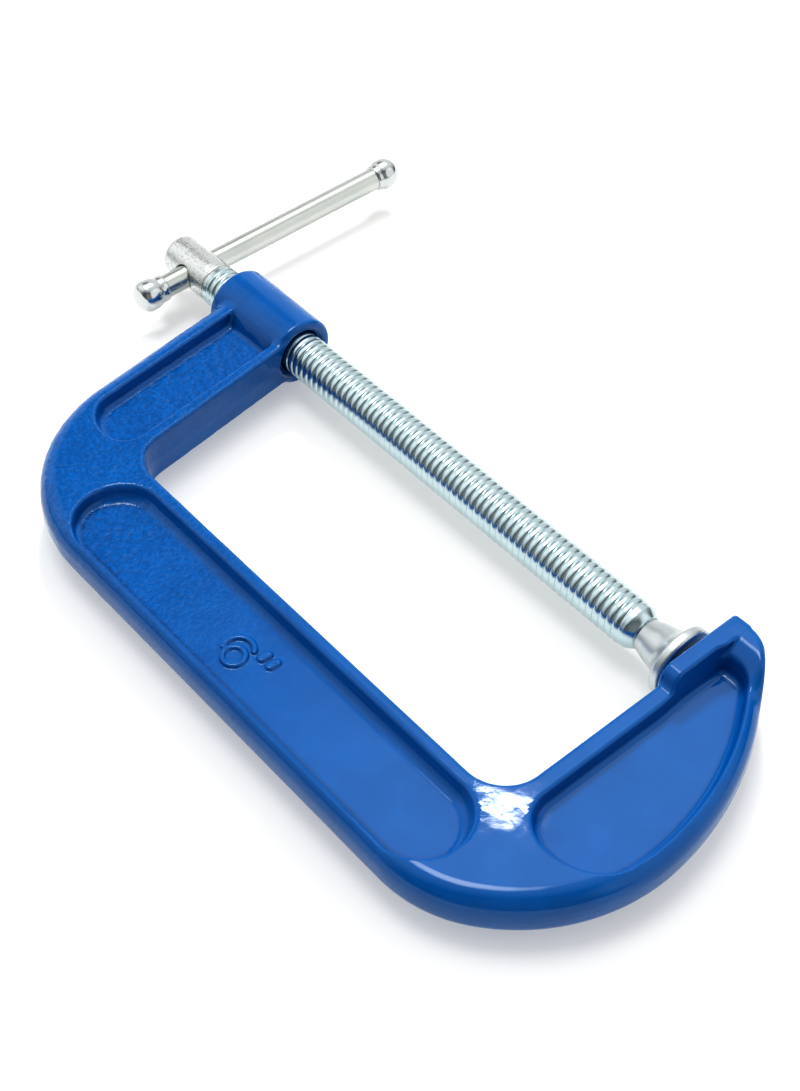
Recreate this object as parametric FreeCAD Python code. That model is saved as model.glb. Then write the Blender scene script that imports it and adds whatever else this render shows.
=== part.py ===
import FreeCAD, Part
import math
import os

# C clamp with a cast I-section frame, a screw with a swivel pad, and a sliding handle.
# Millimetres. The clamp lies flat: +Z is up, square to the plane of the C.
# +X is the way the screw advances, from the threaded boss towards the anvil.
# +Y runs from the spine across the throat to the open side.
# Origin: centre of the anvil face, on the screw's axis. The clamp is shown closed.

V = FreeCAD.Vector

# Frame casting
rim_half = 7.9           # half height of the rims of the I-section
web_half = 3.2           # half thickness of the web between the pockets
edge_round = 6.5         # big soft rounding on the outside of the frame
throat_y = -73.5         # inner face of the spine
arm_x = 1.5              # inner face of the lower arm, just behind the anvil face
spine_y = -108.4         # outer face of the spine
arm_lean = 0.1368        # the upper arm leans back by this much per millimetre
upper_out_x = -206.8     # outer face of the upper arm where it reaches the screw's axis
upper_in_x = -173.55     # inner face of the upper arm where it reaches the screw's axis
upper_corner_r = 52.0
throat_r_upper = 12.0
throat_r_lower = 13.0
# the lower arm's outside: three arcs that run into each other, as (radius, sweep)
arm_start_x = -7.0
arm_arcs = [(42.3, 37.5), (59.5, 55.2), (95.0, 45.3)]
rim_width = 4.3          # rim of the lower arm's outside

# Pockets, the same on both faces, as (lowest, highest) along X and Y
foot_round = 2.0
spine_pocket_x = (-158.2, 4.2)
spine_pocket_y = (-105.0, -77.2)
spine_pocket_r = 13.6
upper_pocket_base_x = (-198.3, -177.3)   # its two sides, where they would reach the screw's axis
upper_pocket_y = (-73.6, -13.0)
upper_pocket_lean = 0.124
lower_pocket_x = 6.9     # inner side
lower_pocket_y = (-74.6, 5.6)
tool_top = 20.0          # cutting tools reach this far up, well clear of the casting

# Anvil
anvil_half_h = 12.5
anvil_low_y = -14.3
anvil_high_y = 15.0
anvil_thick = 6.4
anvil_corner_r = 2.2
anvil_edge_r = 0.9
cheek_thick = 9.0        # the anvil's outer end is thicker, where the arm's rim runs into it
cheek_top_z = 12.2
cheek_foot_x = 16.0      # where the cheek has come down to the rim
cheek_low_y = 4.0

# Boss
boss_r = 11.8
boss_back_x = -208.3
boss_front_x = -172.9
boss_edge_r = 1.6
bore_r = 7.45
bore_flare_r = 9.0       # mouth of the bore towards the throat
bore_back_r = 8.15       # mouth of the bore towards the head

# Raised size figure in the spine's pocket
figure_x = -84.5         # centre of the six's ring
figure_y = -94.9
ring_r = 4.25
stroke = 1.85
hook_x = -85.4           # centre of the six's hook, which curls over the ring
hook_y = -92.6
hook_r = 5.5
hook_angles = (40, 215)
tick_x = (-78.6, -74.9)
tick_y = -88.5
tick_size = (1.7, 4.0)
tick_lean = 5
figure_proud = 0.7

# Screw
pitch = 2.54
thread_r = 7.4
root_r = 6.1
thread_end_x = -22.4
plain_r = 7.1
screw_tip_x = -17.4
head_start_x = -218.5
head_end_x = -242.5
head_r = 7.3

# Ball stud and swivel pad
ball_x = -9.4
ball_r = 4.4
neck_r = 2.8
socket_r = 4.45
pad_face_x = -2.15       # closed but for a small gap, in which the pad can tilt
pad_r = 11.5
pad_back_x = -14.8
mouth_in_r = 3.38        # the pad's mouth leaves the neck room to lean ten degrees
mouth_out_r = 3.88

# Handle
bar_x = -229.5
bar_r = 4.0
cross_hole_r = 4.2
bar_low_y = -25.3
bar_high_y = 88.0
cap_r = 5.5
cap_len = 10.5
cap_wall = 2.0           # closed end of a cap, beyond the bar
cap_outer_round = 2.2
cap_inner_round = 0.9
cap_bore_r = 4.02


def rounded_wire(corners):
    """A closed wire in the XY plane through (x, y, radius) corners, with tangent corner arcs."""
    n = len(corners)
    ins, outs, mids = [], [], []
    for i, (x, y, r) in enumerate(corners):
        p = V(x, y, 0)
        a = V(corners[i - 1][0], corners[i - 1][1], 0).sub(p)
        b = V(corners[(i + 1) % n][0], corners[(i + 1) % n][1], 0).sub(p)
        a.normalize()
        b.normalize()
        if not r:
            ins.append(p)
            outs.append(p)
            mids.append(None)
            continue
        half = a.getAngle(b) / 2
        reach = r / math.tan(half)
        bis = a.add(b)
        bis.normalize()
        ins.append(p.add(a * reach))
        outs.append(p.add(b * reach))
        mids.append(p.add(bis * (r / math.sin(half) - r)))
    edges = []
    for i in range(n):
        if mids[i]:
            edges.append(Part.Arc(ins[i], mids[i], outs[i]).toShape())
        j = (i + 1) % n
        if outs[i].distanceToPoint(ins[j]) > 1e-6:
            edges.append(Part.LineSegment(outs[i], ins[j]).toShape())
    return Part.Wire(edges)


def prism(wire, low, high):
    """A prism between two heights over a flat wire."""
    solid = Part.Face(wire).extrude(V(0, 0, high - low))
    solid.translate(V(0, 0, low))
    return solid


def turned(profile):
    """A solid turned about the X axis from (x, r) points."""
    pts = [V(x, 0, r) for x, r in profile]
    face = Part.Face(Part.makePolygon(pts + [pts[0]]))
    return face.revolve(V(0, 0, 0), V(1, 0, 0), 360)


def leaning_x(base_x, y, lean=arm_lean):
    """X of a line that leans back from the screw's axis, at a given Y."""
    return base_x - lean * y


def arm_chain(inset):
    """The three tangent arcs outside the lower arm, moved inwards by an inset."""
    p = V(arm_start_x, spine_y, 0)
    turn = -90.0
    edges = []
    for radius, sweep in arm_arcs:
        n = V(math.cos(math.radians(turn)), math.sin(math.radians(turn)), 0)
        centre = p.sub(n * radius)

        def on(angle, r):
            return centre.add(V(math.cos(math.radians(angle)), math.sin(math.radians(angle)), 0) * r)

        r = radius - inset
        edges.append(Part.Arc(on(turn, r), on(turn + sweep / 2, r), on(turn + sweep, r)).toShape())
        p = on(turn + sweep, radius)
        turn += sweep
    return edges


def outline_wire(inset=0.0):
    """The frame's outside in plan, closed straight across the open side."""
    arcs = arm_chain(inset)
    start = arcs[0].Vertexes[0].Point
    end = arcs[-1].Vertexes[-1].Point
    top_y = anvil_high_y - inset
    corner_y = spine_y + inset
    corner = V(leaning_x(upper_out_x, corner_y) + inset, corner_y, 0)
    top = V(leaning_x(upper_out_x, 0) + inset, 0, 0)
    up = top.sub(corner)
    up.normalize()
    along = V(1, 0, 0)
    r = upper_corner_r - inset
    half = up.getAngle(along) / 2
    reach = r / math.tan(half)
    bis = up.add(along)
    bis.normalize()
    a = corner.add(up * reach)
    b = corner.add(along * reach)
    mid = corner.add(bis * (r / math.sin(half) - r))
    cheek = V(cheek_thick, top_y, 0)
    edges = [
        Part.LineSegment(top, a).toShape(),
        Part.Arc(a, mid, b).toShape(),
        Part.LineSegment(b, start).toShape(),
    ] + arcs + [
        Part.LineSegment(end, cheek).toShape(),
        Part.LineSegment(cheek, V(0, top_y, 0)).toShape(),
        Part.LineSegment(V(0, top_y, 0), V(0, 0, 0)).toShape(),
        Part.LineSegment(V(0, 0, 0), top).toShape(),
    ]
    return Part.Wire(edges)


def body_blank():
    """The C-shaped slab with its softly rounded outside, before the pockets."""
    blank = prism(outline_wire(), -rim_half, rim_half)
    rounds = []
    for e in blank.Edges:
        box = e.BoundBox
        flat = box.ZLength < 1e-6
        mid = e.valueAt((e.FirstParameter + e.LastParameter) / 2)
        on_arm = mid.x < -195 and box.YLength > 30
        if flat and (mid.y < -90 or mid.x > 12 or on_arm):
            rounds.append(e)
    blank = blank.makeFillet(edge_round, rounds)
    beyond_y = 40            # past the open side
    throat = rounded_wire([
        (leaning_x(upper_in_x, beyond_y), beyond_y, 0),
        (leaning_x(upper_in_x, throat_y), throat_y, throat_r_upper),
        (arm_x, throat_y, throat_r_lower),
        (arm_x, beyond_y, 0),
    ])
    return blank.cut(prism(throat, -tool_top, tool_top))


def with_round_foot(tool):
    """A pocket tool with its foot rounded, where the wall meets the web."""
    foot = [e for e in tool.Edges if e.BoundBox.ZMax < web_half + 1e-4]
    return tool.makeFillet(foot_round, foot)


def spine_pocket():
    """The long pocket along the spine."""
    (x0, x1), (y0, y1), r = spine_pocket_x, spine_pocket_y, spine_pocket_r
    wire = rounded_wire([(x0, y0, r), (x1, y0, r), (x1, y1, r), (x0, y1, r)])
    return with_round_foot(prism(wire, web_half, tool_top))


def upper_pocket():
    """The pocket in the upper arm, which ends against the boss."""
    outer, inner = upper_pocket_base_x
    low, high = upper_pocket_y
    wire = rounded_wire([
        (leaning_x(outer, high, upper_pocket_lean), high, 3.0),
        (leaning_x(outer, low, upper_pocket_lean), low, 11.5),
        (leaning_x(inner, low, upper_pocket_lean), low, 7.5),
        (leaning_x(inner, high, upper_pocket_lean), high, 3.0),
    ])
    return with_round_foot(prism(wire, web_half, tool_top))


def lower_pocket():
    """The D-shaped pocket in the lower arm, which narrows towards the anvil."""
    low, high = lower_pocket_y
    band = prism(outline_wire(rim_width), web_half, tool_top)
    tool = band.common(Part.makeBox(40, high - low, tool_top, V(lower_pocket_x, low, web_half)))
    # each upright corner in turn, from its place: (at the bottom, at the inner wall, radius)
    corners = ((True, True, 12.0), (True, False, 12.0), (False, False, 4.0), (False, True, 2.5))
    for bottom, inner, r in corners:
        ends = [e for e in tool.Edges if e.BoundBox.ZLength > 10]
        level = (min if bottom else max)(e.BoundBox.YMin for e in ends)
        row = [e for e in ends if abs(e.BoundBox.YMin - level) < 0.01]
        corner = (min if inner else max)(row, key=lambda e: e.BoundBox.XMin)
        tool = tool.makeFillet(r, [corner])
    return with_round_foot(tool)


def anvil_plate():
    """The flat anvil plate, square to the screw, standing proud of the rims."""
    plate = Part.makeBox(anvil_thick, anvil_high_y - anvil_low_y, 2 * anvil_half_h,
                         V(0, anvil_low_y, -anvil_half_h))
    ends = [e for e in plate.Edges if e.BoundBox.XLength > 5]
    plate = plate.makeFillet(anvil_corner_r, ends)
    rest = [e for e in plate.Edges if e.BoundBox.XLength < 1e-6]
    return plate.makeFillet(anvil_edge_r, rest)


def anvil_cheek():
    """The outer rim rises to the full height of the anvil behind its outer end."""
    back_x = cheek_thick - 1.0
    inside_x, inside_z = anvil_thick - 2.4, rim_half - 1.4
    side = [V(inside_x, 0, inside_z), V(inside_x, 0, cheek_top_z), V(back_x, 0, cheek_top_z),
            V(cheek_foot_x, 0, rim_half - 0.3), V(cheek_foot_x, 0, inside_z)]
    face = Part.Face(Part.makePolygon(side + [side[0]]))
    wedge = face.extrude(V(0, anvil_high_y - cheek_low_y, 0))
    wedge.translate(V(0, cheek_low_y, 0))
    return wedge.common(prism(outline_wire(0.8), 0, tool_top))


def boss():
    """The round boss that carries the screw, with its edges softened."""
    body = Part.makeCylinder(boss_r, boss_front_x - boss_back_x, V(boss_back_x, 0, 0), V(1, 0, 0))
    rims = [e for e in body.Edges if isinstance(e.Curve, Part.Circle)]
    return body.makeFillet(boss_edge_r, rims)


def ring_piece(centre, outer_r, low, high, start=0, end=360):
    """A flat ring of the figure's stroke width, or a part of one between two angles."""
    height = high - low
    ring = Part.makeCylinder(outer_r, height, V(centre.x, centre.y, low), V(0, 0, 1), end - start)
    ring = ring.cut(Part.makeCylinder(outer_r - stroke, height, V(centre.x, centre.y, low)))
    ring.rotate(centre, V(0, 0, 1), start)
    return ring


def numeral():
    """A raised size figure on the web: a six made of a ring and a hook, and two inch ticks."""
    low, high = web_half - 0.5, web_half + figure_proud
    ring_centre = V(figure_x, figure_y, 0)
    hook = ring_piece(V(hook_x, hook_y, 0), hook_r, low, high, *hook_angles)
    shapes = [ring_piece(ring_centre, ring_r, low, high).fuse(hook)]
    wide, tall = tick_size
    for x in tick_x:
        tick = Part.makeBox(wide, tall, high - low, V(x - wide / 2, tick_y - tall / 2, low))
        tick = tick.makeFillet(0.6, [e for e in tick.Edges if e.BoundBox.ZLength > 1])
        tick.rotate(V(x, tick_y, 0), V(0, 0, 1), -tick_lean)
        shapes.append(tick)
    return shapes


def flipped(shape):
    """The same shape on the underside."""
    return shape.mirror(V(0, 0, 0), V(0, 0, 1))


def frame():
    """The one-piece casting: C-shaped I-section body, anvil and boss, bored for the screw."""
    body = body_blank()
    for make in (spine_pocket, upper_pocket, lower_pocket):
        tool = make()
        body = body.cut(tool).cut(flipped(tool))
    cheek = anvil_cheek()
    for piece in [anvil_plate(), cheek, flipped(cheek), boss()] + numeral():
        body = body.fuse(piece)
    bore = Part.makeCylinder(bore_r, 60, V(boss_back_x - 10, 0, 0), V(1, 0, 0))
    body = body.cut(bore)
    for x, way, mouth_r in ((boss_front_x, -1, bore_flare_r), (boss_back_x, 1, bore_back_r)):
        body = body.cut(Part.makeCone(mouth_r, bore_r, mouth_r - bore_r, V(x, 0, 0), V(way, 0, 0)))
    return body.removeSplitter()


def screw():
    """The long screw with its round head, which is cross-drilled for the handle."""
    profile = [(screw_tip_x, 0), (screw_tip_x, plain_r - 1.2), (screw_tip_x - 1.2, plain_r),
               (thread_end_x - 0.6, plain_r)]
    # ridges at the true pitch, with small flats on the crests and round-bottomed valleys
    x = thread_end_x - 0.6
    count = int((x - head_start_x - 1.0) / pitch)
    for i in range(count):
        c = x - pitch * i
        profile += [(c - 0.55, root_r), (c - 0.95, root_r), (c - 1.5, thread_r), (c - 1.95, thread_r)]
    last = x - pitch * count
    profile += [(last - 0.2, root_r + 0.2), (head_start_x, root_r + 0.2),
                (head_start_x - 0.6, head_r), (head_end_x + 2.0, head_r),
                (head_end_x + 0.6, head_r - 0.6), (head_end_x, head_r - 2.0), (head_end_x, 0)]
    body = turned(profile)
    hole = Part.makeCylinder(cross_hole_r, 40, V(bar_x, -20, 0), V(0, 1, 0))
    return body.cut(hole)


def ball_stud():
    """The neck and ball at the screw's tip, inside the pad."""
    neck = Part.makeCylinder(neck_r, ball_x - screw_tip_x, V(screw_tip_x, 0, 0), V(1, 0, 0))
    ball = Part.makeSphere(ball_r, V(ball_x, 0, 0))
    return neck.fuse(ball)


def swivel_pad():
    """The cup that is closed over the ball and flares out to a thin disc."""
    body = turned([
        (pad_back_x, 0), (pad_back_x, 5.3), (pad_back_x + 0.6, 5.9), (-12.4, 6.5), (-9.8, 7.0),
        (-8.6, 7.4), (-7.5, 8.3), (-6.5, 9.7), (-5.8, 10.9), (-5.1, pad_r), (pad_face_x - 0.3, pad_r),
        (pad_face_x, pad_r - 0.3), (pad_face_x, 0),
    ])
    body = body.cut(Part.makeSphere(socket_r, V(ball_x, 0, 0)))
    reach = ball_x - pad_back_x
    mouth = Part.makeCone(mouth_in_r, mouth_out_r + 0.1, reach - 2.4, V(ball_x - 2.8, 0, 0), V(-1, 0, 0))
    return body.cut(mouth)


def handle_bar():
    """The round bar that slides through the screw's head."""
    length = bar_high_y - bar_low_y - 2 * cap_wall
    return Part.makeCylinder(bar_r, length, V(bar_x, bar_low_y + cap_wall, 0), V(0, 1, 0))


def end_cap(outer_y, way):
    """A pressed-on round end that stops the bar sliding out, with a blind bore for the bar."""
    cap = Part.makeCylinder(cap_r, cap_len, V(bar_x, outer_y, 0), V(0, way, 0))
    for y, r in ((outer_y, cap_outer_round), (outer_y + way * cap_len, cap_inner_round)):
        rim = [e for e in cap.Edges
               if isinstance(e.Curve, Part.Circle) and abs(e.BoundBox.Center.y - y) < 1e-3]
        cap = cap.makeFillet(r, rim)
    bore = Part.makeCylinder(cap_bore_r, cap_len, V(bar_x, outer_y + way * cap_wall, 0), V(0, way, 0))
    return cap.cut(bore)


def main():
    os.makedirs("parts", exist_ok=True)
    pieces = {
        "frame": frame(),
        "screw": screw(),
        "ball_stud": ball_stud(),
        "swivel_pad": swivel_pad(),
        "handle_bar": handle_bar(),
        "handle_cap_near": end_cap(bar_low_y, 1),
        "handle_cap_far": end_cap(bar_high_y, -1),
    }
    for name, shape in pieces.items():
        solids = shape.Solids
        body = solids[0] if len(solids) == 1 else shape
        print(name, "solids", len(solids), "valid", body.isValid(), "volume", round(body.Volume))
        body.exportStep("parts/" + name + ".step")


main()
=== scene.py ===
import math

import bmesh
import bpy
import numpy as np
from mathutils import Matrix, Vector

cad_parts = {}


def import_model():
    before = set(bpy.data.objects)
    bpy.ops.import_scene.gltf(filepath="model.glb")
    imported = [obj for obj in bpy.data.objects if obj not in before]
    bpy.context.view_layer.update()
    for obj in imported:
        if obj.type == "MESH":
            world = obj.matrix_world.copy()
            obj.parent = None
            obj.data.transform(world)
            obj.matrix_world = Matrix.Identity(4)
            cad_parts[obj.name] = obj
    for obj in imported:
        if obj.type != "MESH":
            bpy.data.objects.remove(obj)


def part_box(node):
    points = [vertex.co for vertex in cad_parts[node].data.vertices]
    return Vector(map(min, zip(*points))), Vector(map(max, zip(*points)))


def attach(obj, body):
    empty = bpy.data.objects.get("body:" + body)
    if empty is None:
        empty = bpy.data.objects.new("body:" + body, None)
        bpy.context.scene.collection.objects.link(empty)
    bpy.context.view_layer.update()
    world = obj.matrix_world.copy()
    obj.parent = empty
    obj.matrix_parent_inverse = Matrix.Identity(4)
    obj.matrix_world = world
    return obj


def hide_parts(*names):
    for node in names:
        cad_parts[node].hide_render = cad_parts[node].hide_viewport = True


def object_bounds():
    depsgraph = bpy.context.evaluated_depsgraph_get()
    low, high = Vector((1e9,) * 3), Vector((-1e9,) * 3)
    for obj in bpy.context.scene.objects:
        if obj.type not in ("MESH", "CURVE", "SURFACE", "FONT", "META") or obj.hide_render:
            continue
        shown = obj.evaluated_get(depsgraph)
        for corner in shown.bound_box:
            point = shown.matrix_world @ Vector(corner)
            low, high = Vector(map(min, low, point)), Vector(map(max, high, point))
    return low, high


# C clamp: enamelled cast frame, zinc-plated screw with a swivel pad, and a sliding handle.
# Shapes are worked out in millimetres, in the CAD's frame, and the meshes are made in metres.
# +X is the way the screw advances, +Y runs from the spine to the open side, and +Z is up.

MM = 0.001
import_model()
cad_low, cad_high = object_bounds()


def cad_span(node, axis):
    """Lowest and highest place of a CAD node along an axis (0, 1 or 2), in millimetres."""
    low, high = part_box(node)
    return low[axis] / MM, high[axis] / MM


# ---------------------------------------------------------------- sizes, in millimetres

# Frame casting. A pair such as CHEEK_Y is where a change along an axis starts and where it ends.
FRAME_LOW_X, FRAME_HIGH_X = cad_span("frame", 0)
SPINE_Y, ANVIL_HIGH_Y = cad_span("frame", 1)
ANVIL_HALF_H = cad_span("frame", 2)[1]
RIM = 7.9                  # half height of the rims
RIM_WIDTH = 4.3
WEB = 3.2                  # half thickness of the web between the pockets
LIP = 0.95                 # rounding of the rims' inner edges
EDGE_ROUND = 6.5           # rounding of the bow's outer edge
EDGE_SHARPENS = 4.4        # the lower arm's end is rounded this much less
EDGE_SHARPENS_Y = (0.0, 9.0)
ARM_END_X = (0.0, 2.0)     # the lower arm's end is beyond these
CHEEK_Y = (2.0, 12.0)      # it climbs to the anvil's height between these
CLIMB_SHORT = 0.15         # and stays this far under it
RIDGE_HEIGHT = 0.16        # the parting ridge round the outside, at mid-height
RIDGE_WIDTH = 0.45
SIDE_INSET = 0.12          # the sides stand back this far, so that the ridge has room
THROAT_Y = -73.5
THROAT_R_UPPER, THROAT_R_LOWER = 12.0, 13.0
THROAT_DRAFT = math.tan(math.radians(3.5))
ARM_X = 1.5                # the lower arm's side of the throat
ARM_LEAN = 0.1368          # the upper arm leans back this much for each millimetre of height
ARM_TOP_Y = 5.0            # the upper arm ends inside the boss
ARM_TIP_ROUND = 3.2        # rounding of the lower arm's end, at the anvil's high end
UPPER_OUT_X, UPPER_IN_X = -206.8, -173.55
UPPER_CORNER_R = 52.0
ARM_START_X = -7.0         # the lower arm's outside starts to turn here
ARM_ARCS = ((42.3, 37.5), (59.5, 55.2), (95.0, 45.3))      # radius and sweep in degrees
OUTLINE_PAST = 4.5         # the outline runs this far past the lower arm's end, where it is cut off
BEYOND_Y = 40.0            # past the open side
SMALL_R = 0.5              # outline corners that don't show on the casting

# The enamelled skin: height, size of the bumps and seed
WAVES = ((0.05, 7.3, 1), (0.03, 3.4, 2))
PEBBLES = (0.06, 2.3, 3)
PEBBLED_X = (-90.0, -165.0)                # the skin grows rough between these
LOWER_WAVES = 0.25                         # the lower arm's share of the waves
LOWER_PEBBLES = 0.06                       # and of the pebbles
CALM_Y = (-14.0, -6.0)                     # the pebbles grow calmer towards the boss
CALMED = 0.6                               # by this share
SKIN_SUNK = 0.04                           # the whole skin stands back this far
CORNER_SHADE_REACH = 4.0                           # how far from an inside corner the painted shade reaches
BOX_INSET, BOX_EDGE = 0.05, 0.3            # the skin stays this far inside the CAD's box

# Pockets. A slope is how far a wall leans for each millimetre of depth.
SPINE_POCKET_X = (-158.2, 4.2)
SPINE_POCKET_Y = (-105.0, -77.2)
SPINE_POCKET_R = 13.6
SPINE_SLOPE, SPINE_SLOPE_MORE = 0.10, 0.38
SPINE_FLOOR_R, SPINE_FLOOR_R_MORE = 1.5, 0.7
SPINE_CHANGE = (9, 4)                      # both change between these distances from the long sides
UPPER_POCKET_BASE = (-198.3, -177.3)
UPPER_POCKET_LEAN = 0.124
UPPER_POCKET_Y = (-73.6, -8.0)
UPPER_POCKET_R = (11.5, 7.5)
UPPER_SLOPE = 0.16
UPPER_FLOOR_R = 1.8
UPPER_END_Y, UPPER_END_H = -10.4, 5.0      # a place on the leaning wall in front of the boss
UPPER_END_FACING = (0.75, 0.66)            # how much it faces along Y and up
UPPER_END_R = 1.2
LOWER_POCKET_X = 6.9
LOWER_POCKET_Y = (-74.6, 5.6)
LOWER_CORNER_R = 12.0
LOWER_SHARPENS = 9.0                       # the throat side's corner at the anvil is rounded this much less
LOWER_SHARPENS_Y = (-45.0, -5.0)
FLUSH_Y = (-22.0, -10.0)                   # the throat side's wall moves to the anvil's back here
FLUSH_OVERLAP = 0.15
LOWER_END_R = 3.0
LOWER_SLOPE = 0.22
LOWER_FLOOR_R = 1.5

# Raised size figure in the spine's pocket
FIGURE_RING = (-84.5, -94.9, 3.3)          # centre and radius of the stroke's middle line
FIGURE_HOOK = (-85.4, -92.6, 4.55)
FIGURE_HOOK_ANGLES = (40, 214)
TICK_X = (-78.6, -74.9)
TICK_Y = -88.5
TICK_HALF = 1.1
TICK_EXTRA = 0.5                           # the ticks' strokes are this much thicker each side
TICK_LEAN = 6
STROKE_R = 0.95
STROKE_SUNK = 0.1                          # the strokes' middle lines lie this far under the web
FIGURE_FILLET = 0.4
FIGURE_LOW = (-91.5, -101.0, 1.0)          # the mesh is finer round the figure, past this corner
FIGURE_HIGH = (-71.5, -85.0)               # and before this one

# Anvil and boss
ANVIL_LOW_Y = -14.3
ANVIL_THICK = 6.4
PLATE_EDGE = 1.0
PLATE_CORNER_R = 5.0
PLATE_SHARPENS = 3.2                       # the corners at the high end are rounded this much less
PLATE_SHARPENS_Y = (0.0, 10.0)
PLATE_FILLET = 1.8
PLATE_FILLET_LESS = 1.2                    # the fillet is this much smaller at the high end
PLATE_FILLET_Y = (0.0, 8.0)
BOSS_R = 11.8
BOSS_X = (-208.3, -172.9)
BOSS_EDGE = 1.7
BOSS_FILLET = 1.3
BORE_R = 7.6
BORE_MOUTH_R = 9.0
BORE_PAST = 3                              # the bore's cutter runs this far past the boss's face
BORE_EDGE = 0.5

# The casting's mesh
CASTING_STEP = 0.8
CASTING_MARGIN = 1.4

# Screw
PITCH = 2.54
THREAD_R = 7.4
ROOT_R = 6.9
CROWN = 0.12               # the crest's rounding
CREST_SHARE = 0.66         # the crest's share of the pitch
GROOVE_X = -167.3          # a groove passes here, at an angle from +Y towards +Z
GROOVE_ANGLE = 104.0
THREAD_AROUND = 72         # points round the thread
THREAD_ROWS = 12           # and rows of them to each pitch
THREAD_END_X = -21.0
RUN_OUT = (0.1, 2.9)       # the thread fades between these distances from its end at the tip
RUN_IN = (0.5, 2.2)        # and between these from its end at the head
UNDERCUT_R = ROOT_R + 0.25
PLAIN_R = 7.1              # the plain end beyond the thread
TIP_R = 5.35               # the tapered tip's small end, which is dished round the neck
TIP_DISH = 1.35
HEAD_LOW_X, TIP_X = cad_span("screw", 0)
HEAD_HIGH_X = -218.5
HEAD_R = 7.3
HEAD_TAPER = 0.25
HEAD_DOME_R = 17.0
HEAD_STEP = 0.34           # the head's mesh
CROSS_HOLE_R = 4.2

# Swivel pad and ball
PAD_LOW_X, PAD_HIGH_X = cad_span("swivel_pad", 0)
PAD_R = cad_span("swivel_pad", 2)[1]
BALL_R = 4.4
BALL_X = cad_span("ball_stud", 0)[1] - BALL_R
SOCKET_R = BALL_R + 0.12
SOCKET_OPENS = 127         # degrees from the pad's face to the cup's inner lip
NECK_R = 2.8
PAD_GAP = 0.3              # between the screw's tip and the cup's back edge
# the cup's outside, as (distance from the CAD pad's back, radius): a long flare that runs into the disc
FLARE = ((-0.2, 5.72), (0.4, 5.92), (1.1, 6.12), (2.2, 6.42), (3.5, 6.72), (4.7, 6.98), (5.6, 7.22),
         (6.3, 7.5), (6.9, 7.88), (7.5, 8.42), (8.05, 9.1), (8.5, 9.8), (8.9, 10.4), (9.3, 10.86))

# Handle
BAR_X = sum(cad_span("handle_bar", 0)) / 2
BAR_R = cad_span("handle_bar", 2)[1]
BAR_WAVER = 0.02           # the bar's radius wavers by this much
CAP_R = cad_span("handle_cap_far", 2)[1]


# ---------------------------------------------------------------- distance fields

def round_max(a, b, r):
    """The overlap of two solids, with the edge between them rounded to a radius."""
    return np.minimum(-r, np.maximum(a, b)) + np.hypot(np.maximum(a + r, 0), np.maximum(b + r, 0))


def round_min(a, b, r):
    """Two solids joined, with a fillet of a radius in the corner between them."""
    return np.maximum(r, np.minimum(a, b)) - np.hypot(np.maximum(r - a, 0), np.maximum(r - b, 0))


def smooth_step(low, high, v):
    """0 at low and before it, 1 at high and beyond it, and an even S between them."""
    t = np.clip((v - low) / (high - low), 0, 1)
    return t * t * (3 - 2 * t)


class Outline:
    """A closed outline with every corner an arc."""

    def __init__(self, corners):
        """Works out the arcs and the straight lines from (x, y, radius) corners, counter-clockwise."""
        points = [np.array(c[:2], float) for c in corners]
        self.arcs = []
        self.lines = []
        ends = []
        for i, p in enumerate(points):
            r = corners[i][2]
            back = points[i - 1] - p
            ahead = points[(i + 1) % len(points)] - p
            back /= np.linalg.norm(back)
            ahead /= np.linalg.norm(ahead)
            half = math.acos(float(np.clip(back @ ahead, -1, 1))) / 2
            middle = (back + ahead) / np.linalg.norm(back + ahead)
            turn = 1.0 if back[1] * ahead[0] - back[0] * ahead[1] > 0 else -1.0
            reach = r / math.tan(half)
            self.arcs.append((p + middle * (r / math.sin(half)), r, turn, -middle, math.sin(half)))
            ends.append((p + back * reach, p + ahead * reach))
        for i in range(len(ends)):
            a, b = ends[i][1], ends[(i + 1) % len(ends)][0]
            length = float(np.linalg.norm(b - a))
            if length > 1e-6:
                self.lines.append((a, (b - a) / length, length))

    def distance(self, x, y):
        """Signed distance to the outline, negative inside."""
        best = np.full(np.broadcast(x, y).shape, 1e3)
        for a, d, length in self.lines:
            along = (x - a[0]) * d[0] + (y - a[1]) * d[1]
            side = (x - a[0]) * d[1] - (y - a[1]) * d[0]
            closer = (along >= 0) & (along <= length) & (np.abs(side) < np.abs(best))
            best = np.where(closer, side, best)
        for centre, r, turn, middle, cos_half in self.arcs:
            dx, dy = x - centre[0], y - centre[1]
            far = np.hypot(dx, dy)
            side = turn * (far - r)
            within = dx * middle[0] + dy * middle[1] >= cos_half * far - 1e-9
            best = np.where(within & (np.abs(side) < np.abs(best)), side, best)
        return best


def leaning_x(base_x, y, lean=ARM_LEAN):
    """X of a line that leans back with the upper arm."""
    return base_x - lean * y


def arc_corners():
    """The lower arm's outside as rounded corners that run into each other, and where the last one ends."""
    p = np.array([ARM_START_X, SPINE_Y])
    heading = 0.0
    corners = []
    for r, sweep in ARM_ARCS:
        reach = r * math.tan(math.radians(sweep) / 2)
        p = p + reach * np.array([math.cos(math.radians(heading)), math.sin(math.radians(heading))])
        corners.append((p[0], p[1], r))
        heading += sweep
        p = p + reach * np.array([math.cos(math.radians(heading)), math.sin(math.radians(heading))])
    return corners, p


def leaning_corner(base_x, y, r, lean=ARM_LEAN):
    """A corner of an outline on a line that leans back with the upper arm."""
    return leaning_x(base_x, y, lean), y, r


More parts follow.
